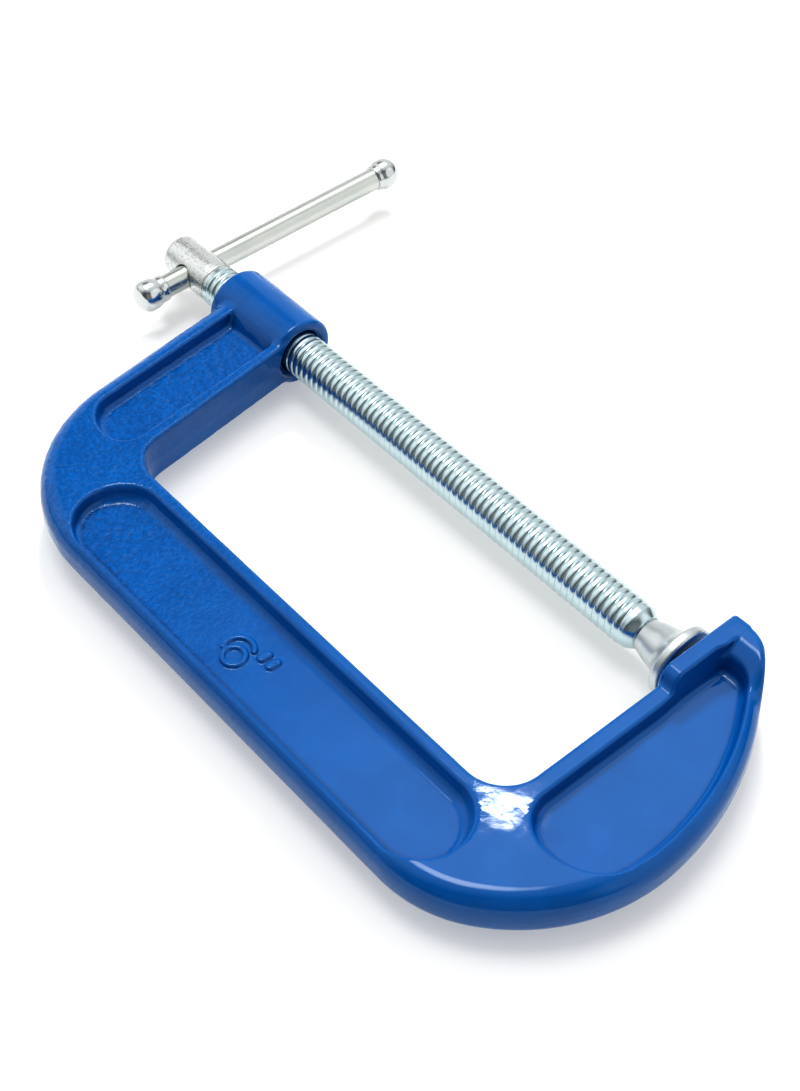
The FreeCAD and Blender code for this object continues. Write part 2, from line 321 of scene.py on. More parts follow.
ARM_CORNERS, ARM_END = arc_corners()
ARM_CUT_Y = ARM_END[1] + OUTLINE_PAST
INSIDE_X = -5.0            # the outline closes here, where the throat is cut out
OUTSIDE = Outline([
    leaning_corner(UPPER_OUT_X, ARM_TOP_Y, SMALL_R),
    leaning_corner(UPPER_OUT_X, SPINE_Y, UPPER_CORNER_R),
    *ARM_CORNERS,
    (ARM_END[0] + INSIDE_X, ARM_CUT_Y, SMALL_R),
    (INSIDE_X, ARM_CUT_Y, SMALL_R),
    (INSIDE_X, ARM_TOP_Y, SMALL_R),
])
THROAT = Outline([
    leaning_corner(UPPER_IN_X, BEYOND_Y, 2 * SMALL_R),
    leaning_corner(UPPER_IN_X, THROAT_Y, THROAT_R_UPPER),
    (ARM_X, THROAT_Y, THROAT_R_LOWER),
    (ARM_X, BEYOND_Y, 2 * SMALL_R),
])
SPINE_SIDES = Outline([
    (SPINE_POCKET_X[0], SPINE_POCKET_Y[0], SPINE_POCKET_R),
    (SPINE_POCKET_X[1], SPINE_POCKET_Y[0], SPINE_POCKET_R),
    (SPINE_POCKET_X[1], SPINE_POCKET_Y[1], SPINE_POCKET_R),
    (SPINE_POCKET_X[0], SPINE_POCKET_Y[1], SPINE_POCKET_R),
])
UPPER_SIDES = Outline([
    leaning_corner(UPPER_POCKET_BASE[0], UPPER_POCKET_Y[1], 2 * SMALL_R, UPPER_POCKET_LEAN),
    leaning_corner(UPPER_POCKET_BASE[0], UPPER_POCKET_Y[0], UPPER_POCKET_R[0], UPPER_POCKET_LEAN),
    leaning_corner(UPPER_POCKET_BASE[1], UPPER_POCKET_Y[0], UPPER_POCKET_R[1], UPPER_POCKET_LEAN),
    leaning_corner(UPPER_POCKET_BASE[1], UPPER_POCKET_Y[1], 2 * SMALL_R, UPPER_POCKET_LEAN),
])


def lattice_noise(x, y, z, size, seed):
    """Smooth noise from -1 to 1 with bumps of about a size, from a lattice of random values."""
    n = 32
    table = np.random.RandomState(seed).uniform(-1, 1, (n, n, n))
    cells, parts = [], []
    for v in (x, y, z):
        s = np.asarray(v, float) / size
        whole = np.floor(s)
        f = s - whole
        cells.append(whole.astype(int))
        parts.append(f * f * (3 - 2 * f))
    (i, j, k), (u, v, w) = cells, parts
    total = 0
    for a in (0, 1):
        for b in (0, 1):
            for c in (0, 1):
                weight = (u if a else 1 - u) * (v if b else 1 - v) * (w if c else 1 - w)
                total = total + weight * table[(i + a) % n, (j + b) % n, (k + c) % n]
    return total


def figure_distance(x, y):
    """Distance in plan to the middle line of the raised size figure: a six and two inch ticks."""
    d = np.abs(np.hypot(x - FIGURE_RING[0], y - FIGURE_RING[1]) - FIGURE_RING[2])
    hx, hy, hook_r = FIGURE_HOOK
    start, stop = (math.radians(a) for a in FIGURE_HOOK_ANGLES)
    middle, half = (start + stop) / 2, (stop - start) / 2
    far = np.hypot(x - hx, y - hy)
    facing = (x - hx) * math.cos(middle) + (y - hy) * math.sin(middle)
    hook = np.where(facing >= math.cos(half) * far, np.abs(far - hook_r), 1e3)
    for a in (start, stop):
        hook = np.minimum(hook, np.hypot(x - hx - hook_r * math.cos(a), y - hy - hook_r * math.sin(a)))
    d = np.minimum(d, hook)
    lean = math.radians(TICK_LEAN)
    ux, uy = math.sin(lean), math.cos(lean)
    for tick_x in TICK_X:
        dx, dy = x - tick_x, y - TICK_Y
        along = np.clip(dx * ux + dy * uy, -TICK_HALF, TICK_HALF)
        d = np.minimum(d, np.hypot(dx - along * ux, dy - along * uy) - TICK_EXTRA)
    return d


def bow(outside, x, y, z):
    """The bow without its pockets: the outline at the rims' height, with the throat cut through it."""
    h = np.abs(z)
    end = smooth_step(*ARM_END_X, x)
    climb = (ANVIL_HALF_H - RIM - CLIMB_SHORT) * smooth_step(*CHEEK_Y, y) * end
    edge = EDGE_ROUND - EDGE_SHARPENS * smooth_step(*EDGE_SHARPENS_Y, y) * end
    ridge = RIDGE_HEIGHT * np.exp(-(z / RIDGE_WIDTH) ** 2)
    body = round_max(outside + SIDE_INSET - ridge, h - RIM - climb, edge)
    return round_max(body, -THROAT.distance(x, y) + THROAT_DRAFT * (h - RIM), LIP)


def anvil_plate(x, y, h):
    """The anvil: a flat plate across the lower arm's end."""
    mid_y = (ANVIL_LOW_Y + ANVIL_HIGH_Y) / 2
    half_y = (ANVIL_HIGH_Y - ANVIL_LOW_Y) / 2
    corner = PLATE_CORNER_R - PLATE_SHARPENS * smooth_step(*PLATE_SHARPENS_Y, y)
    plate = round_max(np.abs(y - mid_y) - half_y, h - ANVIL_HALF_H, corner)
    return round_max(plate, np.abs(x - ANVIL_THICK / 2) - ANVIL_THICK / 2, PLATE_EDGE)


def spine_pocket(x, y, h):
    """The long pocket in the spine, whose wall on the throat's side leans more than the others."""
    across = smooth_step(SPINE_POCKET_Y[0] + SPINE_CHANGE[0], SPINE_POCKET_Y[1] - SPINE_CHANGE[1], y)
    slope = SPINE_SLOPE + SPINE_SLOPE_MORE * across
    floor_r = SPINE_FLOOR_R + SPINE_FLOOR_R_MORE * across
    return round_max(SPINE_SIDES.distance(x, y) + slope * (RIM - h), WEB - h, floor_r)


def upper_pocket(x, y, h):
    """The upper arm's pocket, closed by a leaning wall in front of the boss."""
    pocket = round_max(UPPER_SIDES.distance(x, y) + UPPER_SLOPE * (RIM - h), WEB - h, UPPER_FLOOR_R)
    end_wall = (y - UPPER_END_Y) * UPPER_END_FACING[0] + (UPPER_END_H - h) * UPPER_END_FACING[1]
    return round_max(pocket, end_wall, UPPER_END_R)


def lower_pocket(outside, x, y, h):
    """The lower arm's pocket, which follows the outside and reaches the anvil's back."""
    sides = round_max(outside + RIM_WIDTH, LOWER_POCKET_Y[0] - y, LOWER_CORNER_R)
    flush = (LOWER_POCKET_X - ANVIL_THICK + FLUSH_OVERLAP) * smooth_step(*FLUSH_Y, y)
    corner = LOWER_CORNER_R - LOWER_SHARPENS * smooth_step(*LOWER_SHARPENS_Y, y)
    sides = round_max(sides, LOWER_POCKET_X - flush - x, corner)
    sides = round_max(sides, y - LOWER_POCKET_Y[1], LOWER_END_R)
    return round_max(sides + LOWER_SLOPE * (RIM - h), WEB - h, LOWER_FLOOR_R)


def boss(x, from_axis):
    """The round boss at the upper arm's end, before it is bored."""
    mid_x = sum(BOSS_X) / 2
    half_x = (BOSS_X[1] - BOSS_X[0]) / 2
    return round_max(from_axis - BOSS_R, np.abs(x - mid_x) - half_x, BOSS_EDGE)


def bore(x, from_axis):
    """The boss's bore, which widens to its mouth on the throat's side."""
    widening = np.clip(x - BOSS_X[1] + (BORE_MOUTH_R - BORE_R), 0, BORE_PAST)
    return np.maximum(from_axis - BORE_R - widening, x - BOSS_X[1] - BORE_PAST)


def casting(x, y, z, rough=True):
    """Distance to the frame casting's surface, negative inside."""
    h = np.abs(z)
    from_axis = np.hypot(y, z)
    outside = round_max(OUTSIDE.distance(x, y), y - ANVIL_HIGH_Y, ARM_TIP_ROUND)
    fillet = PLATE_FILLET - PLATE_FILLET_LESS * smooth_step(*PLATE_FILLET_Y, y)
    body = round_min(bow(outside, x, y, z), anvil_plate(x, y, h), fillet)
    for pocket in (spine_pocket(x, y, h), upper_pocket(x, y, h), lower_pocket(outside, x, y, h)):
        body = round_max(body, -pocket, LIP)
    body = round_min(body, boss(x, from_axis), BOSS_FILLET)
    body = round_max(body, -bore(x, from_axis), BORE_EDGE)
    strokes = np.hypot(figure_distance(x, y), z - WEB + STROKE_SUNK) - STROKE_R
    body = round_min(body, strokes, FIGURE_FILLET)
    if rough:
        body = body - casting_skin(x, y, z)
    # nothing may stand outside the casting's own box
    body = round_max(body, h - ANVIL_HALF_H + BOX_INSET, BOX_EDGE)
    body = round_max(body, np.maximum(SPINE_Y - y, y - ANVIL_HIGH_Y) + BOX_INSET, BOX_EDGE)
    return round_max(body, x - FRAME_HIGH_X + BOX_INSET, BOX_EDGE)


def casting_skin(x, y, z):
    """How far the enamelled skin stands proud: long waves everywhere, and pebbles on the upper arm."""
    waves = sum(height * lattice_noise(x, y, z, size, seed) for height, size, seed in WAVES)
    upper = smooth_step(*PEBBLED_X, x)
    height, size, seed = PEBBLES
    pebbles = height * lattice_noise(x, y, z, size, seed) * (1 - CALMED * smooth_step(*CALM_Y, y))
    waves *= LOWER_WAVES + (1 - LOWER_WAVES) * upper
    pebbles *= LOWER_PEBBLES + (1 - LOWER_PEBBLES) * upper
    return waves + pebbles - SKIN_SUNK


# ---------------------------------------------------------------- meshing

def surface_net(field, xs, ys, zs):
    """Vertices and quads of the surface where a field on a grid passes zero."""
    inside = field < 0
    shape = tuple(n - 1 for n in field.shape)
    total = np.zeros(shape + (3,))
    count = np.zeros(shape)
    axes = (xs, ys, zs)
    crossings = []
    for axis in range(3):
        low = [slice(None)] * 3
        high = [slice(None)] * 3
        low[axis], high[axis] = slice(0, -1), slice(1, None)
        fa, fb = field[tuple(low)], field[tuple(high)]
        cross = inside[tuple(low)] != inside[tuple(high)]
        crossings.append((cross, inside[tuple(low)]))
        index = np.argwhere(cross)
        t = fa[cross] / (fa[cross] - fb[cross])
        point = np.stack([axes[d][index[:, d]] for d in range(3)], 1)
        point[:, axis] += t * (axes[axis][index[:, axis] + 1] - axes[axis][index[:, axis]])
        others = [d for d in range(3) if d != axis]
        for a in (0, 1):
            for b in (0, 1):
                cell = index.copy()
                cell[:, others[0]] -= a
                cell[:, others[1]] -= b
                ok = np.all((cell >= 0) & (cell < shape), 1)
                c = cell[ok]
                np.add.at(total, (c[:, 0], c[:, 1], c[:, 2]), point[ok])
                np.add.at(count, (c[:, 0], c[:, 1], c[:, 2]), 1)
    used = count > 0
    number = np.full(shape, -1)
    number[used] = np.arange(used.sum())
    verts = total[used] / count[used][:, None]
    quads = []
    for axis, (cross, first_inside) in enumerate(crossings):
        index = np.argwhere(cross)
        flip = first_inside[cross]
        o1, o2 = [(1, 2), (2, 0), (0, 1)][axis]
        ok = (index[:, o1] > 0) & (index[:, o2] > 0)
        ok &= (index[:, o1] < shape[o1]) & (index[:, o2] < shape[o2])
        index, flip = index[ok], flip[ok]
        ring = []
        for a, b in ((0, 0), (1, 0), (1, 1), (0, 1)):
            cell = index.copy()
            cell[:, o1] -= a
            cell[:, o2] -= b
            ring.append(number[cell[:, 0], cell[:, 1], cell[:, 2]])
        quad = np.stack(ring, 1)
        quad[~flip] = quad[~flip][:, ::-1]
        quads.append(quad)
    return verts, np.concatenate(quads)


def gradient(distance, v, step=0.02):
    """The field's slope at points."""
    out = np.empty_like(v)
    for d in range(3):
        ahead, behind = v.copy(), v.copy()
        ahead[:, d] += step
        behind[:, d] -= step
        out[:, d] = (distance(*ahead.T) - distance(*behind.T)) / (2 * step)
    return out


def settle(distance, v, rounds=3, most=0.6):
    """Moves points onto the surface in a few rounds of limited steps, and gives their normals there."""
    for _ in range(rounds):
        g = gradient(distance, v)
        steep = np.maximum((g * g).sum(1), 0.05)           # never a huge step where the field is flat
        shift = -g * (distance(*v.T) / steep)[:, None]
        length = np.linalg.norm(shift, axis=1)
        shift *= (np.minimum(length, most) / np.maximum(length, 1e-9))[:, None]
        v = v + shift
    g = gradient(distance, v)
    return v, g / np.linalg.norm(g, axis=1)[:, None]


def even_out(v, quads, share=0.5):
    """Moves each point part of the way to the middle of its neighbours."""
    total = np.zeros_like(v)
    count = np.zeros(len(v))
    for a, b in ((0, 1), (1, 2), (2, 3), (3, 0)):
        for p, q in ((quads[:, a], quads[:, b]), (quads[:, b], quads[:, a])):
            np.add.at(total, p, v[q])
            np.add.at(count, p, 1)
    return v + share * (total / np.maximum(count, 1)[:, None] - v)


def make_object(name, verts, faces, body, nodes, material, normals=None):
    """A smooth-shaded piece from millimetre points, which rides on a body and stands for CAD nodes."""
    mesh = bpy.data.meshes.new(name)
    mesh.from_pydata((np.asarray(verts) * MM).tolist(), [], [list(map(int, f)) for f in faces])
    mesh.validate()
    mesh.polygons.foreach_set("use_smooth", np.ones(len(mesh.polygons), bool))
    if normals is not None:
        mesh.normals_split_custom_set_from_vertices(np.asarray(normals).tolist())
    mesh.update()
    piece = bpy.data.objects.new(name, mesh)
    bpy.context.scene.collection.objects.link(piece)
    mesh.materials.append(material)
    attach(piece, body)
    if nodes:
        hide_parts(*nodes)
    return piece


def refine(verts, quads, wanted):
    """Splits the faces whose middles are wanted into four, and closes the seams round them."""
    bm = bmesh.new()
    for p in verts:
        bm.verts.new(p)
    bm.verts.ensure_lookup_table()
    for q in quads:
        bm.faces.new([bm.verts[int(i)] for i in q])
    chosen = [f for f in bm.faces if wanted(f.calc_center_median())]
    edges = list({e for f in chosen for e in f.edges})
    bmesh.ops.subdivide_edges(bm, edges=edges, cuts=1, use_grid_fill=True)
    bm.verts.index_update()
    out = np.array([v.co[:] for v in bm.verts])
    faces = [[v.index for v in f.verts] for f in bm.faces]
    bm.free()
    return out, faces


def at_figure(c):
    """Whether a place is close to the raised size figure."""
    return (FIGURE_LOW[0] < c.x < FIGURE_HIGH[0] and FIGURE_LOW[1] < c.y < FIGURE_HIGH[1]
            and c.z > FIGURE_LOW[2])


def smooth_casting(x, y, z):
    """Distance to the casting without the unevenness of its skin."""
    return casting(x, y, z, rough=False)


def frame_casting(material):
    """The one-piece casting, meshed from its distance field."""
    xs = np.arange(FRAME_LOW_X - CASTING_MARGIN, FRAME_HIGH_X + CASTING_MARGIN, CASTING_STEP)
    ys = np.arange(SPINE_Y - CASTING_MARGIN, ANVIL_HIGH_Y + CASTING_MARGIN, CASTING_STEP)
    half = math.ceil((ANVIL_HALF_H + 1.0) / CASTING_STEP)
    zs = (np.arange(-half, half) + 0.5) * CASTING_STEP
    field = smooth_casting(xs[:, None, None], ys[None, :, None], zs[None, None, :])
    verts, quads = surface_net(field, xs, ys, zs)
    verts = settle(smooth_casting, verts, 2)[0]
    verts = even_out(verts, quads)
    verts, faces = refine(verts, quads, at_figure)
    verts, normals = settle(casting, verts)
    piece = make_object("frame_casting", verts, faces, "frame", ["frame"], material, normals)
    # painted shade in the inside corners: how near another wall stands in front of each point
    ahead = verts + CORNER_SHADE_REACH * normals
    painted_corner_shade = 1 - smooth_casting(*ahead.T) / CORNER_SHADE_REACH
    values = piece.data.attributes.new("painted_corner_shade", "FLOAT", "POINT")
    values.data.foreach_set("value", np.clip(painted_corner_shade, 0, 1).astype(np.float32))


def turned(name, profile, axis, centre, around, body, nodes, material):
    """A piece turned about the X or Y axis from (place along it, radius) points; ends at radius 0 close."""
    verts = []
    faces = []
    rings = []
    for s, r in profile:
        if r < 1e-6:
            rings.append([len(verts)])
            verts.append((s, 0.0, 0.0))
            continue
        rings.append(list(range(len(verts), len(verts) + around)))
        for i in range(around):
            a = 2 * math.pi * i / around
            verts.append((s, r * math.cos(a), r * math.sin(a)))
    for low, high in zip(rings, rings[1:]):
        for i in range(around):
            j = (i + 1) % around
            if len(low) == 1:
                faces.append((low[0], high[j], high[i]))
            elif len(high) == 1:
                faces.append((low[i], low[j], high[0]))
            else:
                faces.append((low[i], low[j], high[j], high[i]))
    v = np.array(verts)
    if axis == "Y":
        v = v[:, [1, 0, 2]]
        faces = [tuple(reversed(f)) for f in faces]
    v = v + np.array(centre)
    make_object(name, v, faces, body, nodes, material)


def arc_points(cx, cr, r, a0, a1, n):
    """Points on an arc of a profile, between two angles in degrees."""
    return [(cx + r * math.cos(math.radians(a)), cr + r * math.sin(math.radians(a)))
            for a in np.linspace(a0, a1, n)]


def thread_radius(phase):
    """Radius of the thread at a share of its pitch: a broad, barely rounded crest and a narrow groove."""
    t = np.abs(((phase + 0.5) % 1.0) - 0.5) * 2          # 0 at the middle of the crest, 1 in the groove
    crown = CROWN * np.minimum(t / CREST_SHARE, 1) ** 2
    down = np.clip((t - CREST_SHARE) / (1 - CREST_SHARE), 0, 1)
    soft = down * down * (3 - 2 * down)
    return THREAD_R - crown - (THREAD_R - CROWN - ROOT_R) * soft


def threaded_shaft():
    """The screw's right-hand helical thread as an open tube, faded out at both of its ends."""
    start = HEAD_HIGH_X + 0.4
    end = THREAD_END_X + 0.2
    last_row = int((end - start) / PITCH * THREAD_ROWS) + THREAD_ROWS
    row, point = np.meshgrid(np.arange(-THREAD_ROWS, last_row + 1), np.arange(THREAD_AROUND), indexing="ij")
    x = np.clip(start + PITCH * (row / THREAD_ROWS + point / THREAD_AROUND), start, end)
    angle = 2 * np.pi * point / THREAD_AROUND
    phase = (x - GROOVE_X) / PITCH + GROOVE_ANGLE / 360 - point / THREAD_AROUND + 0.5
    fade_out = smooth_step(end - RUN_OUT[0], end - RUN_OUT[1], x)
    fade = fade_out * smooth_step(start + RUN_IN[0], start + RUN_IN[1], x)
    plain = np.where(x > (start + end) / 2, PLAIN_R, UNDERCUT_R)
    r = plain + (thread_radius(phase) - plain) * fade
    verts = np.stack([x, r * np.cos(angle), r * np.sin(angle)], -1)
    n_rows = len(verts)
    faces = []
    for i in range(n_rows - 1):
        for j in range(THREAD_AROUND - 1):
            a = i * THREAD_AROUND + j
            faces.append((a, a + 1, a + THREAD_AROUND + 1, a + THREAD_AROUND))
        # after a whole turn the next point is one pitch further along
        if i + THREAD_ROWS + 1 < n_rows:
            a = i * THREAD_AROUND + THREAD_AROUND - 1
            b = (i + THREAD_ROWS) * THREAD_AROUND
            faces.append((a, b, b + THREAD_AROUND, a + THREAD_AROUND))
    return verts.reshape(-1, 3), faces


def tip_profile():
    """The screw's plain end as (x, radius) points: a taper, and a dish round the neck."""
    return [
        (TIP_X - 3.0, PLAIN_R),
        (TIP_X - 2.6, PLAIN_R - 0.12),
        (TIP_X - 0.35, TIP_R + 0.35),
        (TIP_X - 0.08, TIP_R + 0.1),
        (TIP_X, TIP_R),
        (TIP_X - 0.05, TIP_R - 0.15),
        (TIP_X - TIP_DISH, TIP_R - 1.2),
        (TIP_X - TIP_DISH, NECK_R),
    ]


def close_tube(bm, at_tip, profile):
    """Carries one open end of the shaft's tube along a profile, and closes it."""
    rim = [e for e in bm.edges if e.is_boundary]
    furthest = max if at_tip else min
    level = furthest(v.co.x for e in rim for v in e.verts)
    ring = [e for e in rim if all(abs(v.co.x - level) < 1e-3 for v in e.verts)]
    for x, r in profile:
        out = bmesh.ops.extrude_edge_only(bm, edges=ring)["geom"]
        ring = [g for g in out if isinstance(g, bmesh.types.BMEdge)]
        for v in out:
            if isinstance(v, bmesh.types.BMVert):
                scale = r / math.hypot(v.co.y, v.co.z)
                v.co = Vector((x, v.co.y * scale, v.co.z * scale))
    bmesh.ops.contextual_create(bm, geom=ring)


def screw_piece(material, head_material):
    """The screw: the threaded shaft, and the head with its cross hole."""
    shaft_verts, shaft_faces = threaded_shaft()
    bm = bmesh.new()
    points = [bm.verts.new(p) for p in shaft_verts]
    for face in shaft_faces:
        bm.faces.new([points[k] for k in face])
    bmesh.ops.remove_doubles(bm, verts=bm.verts, dist=1e-4)
    bmesh.ops.dissolve_degenerate(bm, edges=bm.edges, dist=1e-4)
    close_tube(bm, False, [(HEAD_HIGH_X - 0.5, UNDERCUT_R)])
    close_tube(bm, True, tip_profile())
    head_verts, head_faces = screw_head()
    points = [bm.verts.new(p) for p in head_verts]
    for face in head_faces:
        bm.faces.new([points[int(k)] for k in face])
    bmesh.ops.recalc_face_normals(bm, faces=bm.faces)
    bm.verts.index_update()
    verts = np.array([v.co[:] for v in bm.verts])
    # sorted, because extruded faces come in an order that differs from run to run
    faces = sorted([v.index for v in f.verts] for f in bm.faces)
    bm.free()
    piece = make_object("screw_body", verts, faces, "screw", ["screw"], material)
    piece.data.materials.append(head_material)
    for polygon in piece.data.polygons:
        if polygon.center.x < (HEAD_HIGH_X + 0.3) * MM:
            polygon.material_index = 1


def head_distance(x, y, z):
    """Distance to the screw's head: a forged, domed round end with a cross hole, negative inside."""
    from_axis = np.hypot(y, z)
    mid = (HEAD_LOW_X + HEAD_HIGH_X) / 2
    half = (HEAD_HIGH_X - HEAD_LOW_X) / 2
    wide = HEAD_R - HEAD_TAPER * smooth_step(HEAD_HIGH_X - 5, HEAD_HIGH_X, x)
    d = round_max(from_axis - wide, np.abs(x - mid) - half, 1.0)
    dome = np.hypot(x - (HEAD_LOW_X + HEAD_DOME_R), from_axis) - HEAD_DOME_R
    d = round_max(d, dome, 1.6)
    hole = np.hypot(x - BAR_X, z) - CROSS_HOLE_R
    d = round_max(d, -hole, 0.7)
    forged = 0.03 * lattice_noise(x, y, z, 2.4, 11) + 0.012 * lattice_noise(x, y, z, 0.9, 12) - 0.03
    return d - forged


def screw_head():
    """The head's vertices and faces, meshed from its distance field."""
    xs = np.arange(HEAD_LOW_X - 1, HEAD_HIGH_X + 1.5, HEAD_STEP)
    side = np.arange(-HEAD_R - 1, HEAD_R + 1.2, HEAD_STEP)
    field = head_distance(xs[:, None, None], side[None, :, None], side[None, None, :])
    verts, quads = surface_net(field, xs, side, side)
    verts = settle(head_distance, even_out(verts, quads))[0]
    return verts, quads


def pad_piece(material):
    """The swivel pad: a cup closed over the ball that flares to a disc."""
    back, face = PAD_LOW_X, PAD_HIGH_X
    mouth_x = TIP_X + PAD_GAP
    socket = [(BALL_X + SOCKET_R, 0.0)]
    socket += arc_points(BALL_X, 0.0, SOCKET_R, 0, SOCKET_OPENS, 24)[1:]
    mouth = [(back + 2.4, 3.62), (back + 0.9, 3.95), (back - 1.1, 4.15), (mouth_x + 0.1, 4.35)]
    lip = arc_points(mouth_x + 0.5, 4.75, 0.5, 180, 100, 6)
    flare = [(mouth_x + 1.3, 5.45)]
    flare += [(back + along, r) for along, r in FLARE]
    disc = arc_points(back + 10.05, PAD_R - 0.95, 0.9, 140, 90, 7)
    disc += arc_points(face - 1.3, PAD_R - 1.35, 1.3, 90, 0, 10)
    flat = [(face, 8.0), (face, 4.0), (face, 0.0)]
    profile = socket + mouth + lip + flare + disc + flat
    turned("swivel_pad_cup", profile, "X", (0, 0, 0), 96, "pad", ["swivel_pad"], material)


def stud_piece(material):
    """The neck and the ball at the screw's tip."""
    start = math.degrees(math.asin(NECK_R / BALL_R))
    root = TIP_X - TIP_DISH
    foot_r = NECK_R + 0.3
    profile = [(root - 0.5, 0.0), (root - 0.5, foot_r), (root + 0.1, foot_r), (root + 0.4, NECK_R)]
    profile += arc_points(BALL_X, 0.0, BALL_R, 180 - start, 0, 24)[:-1]
    profile += [(BALL_X + BALL_R, 0.0)]
    turned("ball_stud_turned", profile, "X", (0, 0, 0), 64, "stud", ["ball_stud"], material)


def bar_piece(material):
    """The drawn round bar, whose radius wavers very slightly along its length."""
    low, high = cad_span("handle_bar", 1)
    profile = [(low, 0.0)]
    for place in np.linspace(low, high, 90):
        waver = BAR_WAVER * math.sin(place * 0.35) * math.sin(place * 0.11)
        profile.append((float(place), BAR_R - BAR_WAVER + waver))
    profile.append((high, 0.0))
    turned("handle_bar_drawn", profile, "Y", (BAR_X, 0, 0), 72, "handle", ["handle_bar"],
           material)


def near_cap(material):
    """The near end: a barrel with a flat, chamfered end face and a narrow collar at the bar."""
    low, high = cad_span("handle_cap_near", 1)
    profile = [(low, 0.0), (low, 2.35), (low + 0.06, 2.75), (low + 0.3, 3.15)]
    profile += arc_points(low + 3.3, CAP_R - 3.3, 3.3, 155, 95, 10)
    profile += [(low + 4.6, CAP_R - 0.03), (low + 5.8, CAP_R - 0.16), (low + 6.8, CAP_R - 0.42),
                (low + 7.5, CAP_R - 0.70), (low + 7.8, CAP_R - 0.88), (low + 8.0, CAP_R - 0.92),
                (low + 8.2, CAP_R - 0.84), (low + 9.2, CAP_R - 0.86), (low + 10.0, CAP_R - 0.92),
                (high - 0.2, CAP_R - 1.0), (high, CAP_R - 1.2), (high, 0.0)]
    turned("handle_cap_near_end", profile, "Y", (BAR_X, 0, 0), 80, "handle", ["handle_cap_near"],
           material)


def far_cap(material):
    """The far end: a rounded knob with a small shoulder where the bar enters it."""
    low, high = cad_span("handle_cap_far", 1)
    profile = [(low, 0.0), (low, CAP_R - 1.2), (low + 0.2, CAP_R - 1.0), (low + 0.9, CAP_R - 0.85),
               (low + 1.7, CAP_R - 0.78), (low + 1.9, CAP_R - 0.72), (low + 2.3, CAP_R - 0.42),
               (low + 3.0, CAP_R - 0.17), (low + 3.9, CAP_R - 0.03)]
    profile += arc_points(high - CAP_R, 0.0, CAP_R, 93, 0, 26)[:-1]
    profile += [(high, 0.0)]
    turned("handle_cap_far_end", profile, "Y", (BAR_X, 0, 0), 80, "handle", ["handle_cap_far"],
           material)


# ---------------------------------------------------------------- materials

# Colours are linear. Places and bump heights are in metres, and a grain is a noise's scale for each metre.
ENAMEL_DEEP = (0.0, 0.096, 0.322)
ENAMEL_LIGHT = (0.0, 0.112, 0.368)
ENAMEL_ROUGH = (0.03, 0.06)
PEBBLE_UPPER_X = (-0.060, -0.150)          # the pebbles grow to their full height between these
PEBBLE_BELOW_BOSS_Y = (-0.010, -0.018)
PEBBLE_LEVEL = (0.2, 0.8)                  # squares of the normal's share of up, from steep to level faces
PEBBLE_GRAIN = 780
PEBBLE_BUMP = 0.00015
PEEL_GRAIN = 170                           # long soft ripples in the enamel's gloss
PEEL_BUMP = 0.000016


def new_material(name):
    """An empty node material with its Principled shader."""
    material = bpy.data.materials.new(name)
    material.use_nodes = True
    shader = material.node_tree.nodes["Principled BSDF"]
    return material, material.node_tree, shader


def add_noise(tree, scale, detail=2.0, rough=0.5, stretch=None):
    """A noise texture on the object's own coordinates, in metres."""
    place = tree.nodes.new("ShaderNodeTexCoord")
    noise = tree.nodes.new("ShaderNodeTexNoise")
    noise.inputs["Scale"].default_value = scale
    noise.inputs["Detail"].default_value = detail
    noise.inputs["Roughness"].default_value = rough
    if stretch:
        mapping = tree.nodes.new("ShaderNodeMapping")
        mapping.inputs["Scale"].default_value = stretch
        tree.links.new(place.outputs["Object"], mapping.inputs["Vector"])
        tree.links.new(mapping.outputs["Vector"], noise.inputs["Vector"])
    else:
        tree.links.new(place.outputs["Object"], noise.inputs["Vector"])
    return noise


def map_range(tree, source, low, high, to_low, to_high):
    """A value carried from one range to another."""
    node = tree.nodes.new("ShaderNodeMapRange")
    node.inputs["From Min"].default_value = low
    node.inputs["From Max"].default_value = high
    node.inputs["To Min"].default_value = to_low
    node.inputs["To Max"].default_value = to_high
    tree.links.new(source, node.inputs["Value"])
    return node.outputs["Result"]


def math_node(tree, operation, first, second):
    """Arithmetic on a value and a number or another value."""
    node = tree.nodes.new("ShaderNodeMath")
    node.operation = operation
    tree.links.new(first, node.inputs[0])
    if isinstance(second, float):
        node.inputs[1].default_value = second
    else:
        tree.links.new(second, node.inputs[1])
    return node.outputs["Value"]


def bump_from(tree, source, distance, normal=None):
    """A bump from a height, in metres, on top of another bump if one is given."""
    bump = tree.nodes.new("ShaderNodeBump")
    bump.inputs["Strength"].default_value = 1.0
    bump.inputs["Distance"].default_value = distance
    tree.links.new(source, bump.inputs["Height"])
    if normal:
        tree.links.new(normal, bump.inputs["Normal"])
    return bump.outputs["Normal"]


def grey_scaled(tree, colour, scale):
    """A colour made lighter or darker by a value."""
    node = tree.nodes.new("ShaderNodeVectorMath")
    node.operation = "SCALE"
    tree.links.new(colour, node.inputs[0])
    tree.links.new(scale, node.inputs["Scale"])
    return node.outputs["Vector"]


def colour_ramp(tree, source, low, low_colour, high, high_colour):
    """A colour that runs from one to another as a value rises."""
    ramp = tree.nodes.new("ShaderNodeValToRGB")
    ramp.color_ramp.elements[0].position = low
    ramp.color_ramp.elements[0].color = (*low_colour, 1)
    ramp.color_ramp.elements[1].position = high
    ramp.color_ramp.elements[1].color = (*high_colour, 1)
    tree.links.new(source, ramp.inputs["Fac"])
    return ramp.outputs["Color"]


def axes_of(tree, vector):
    """The X, Y and Z of a vector."""
    node = tree.nodes.new("ShaderNodeSeparateXYZ")
    tree.links.new(vector, node.inputs["Vector"])
    return node.outputs


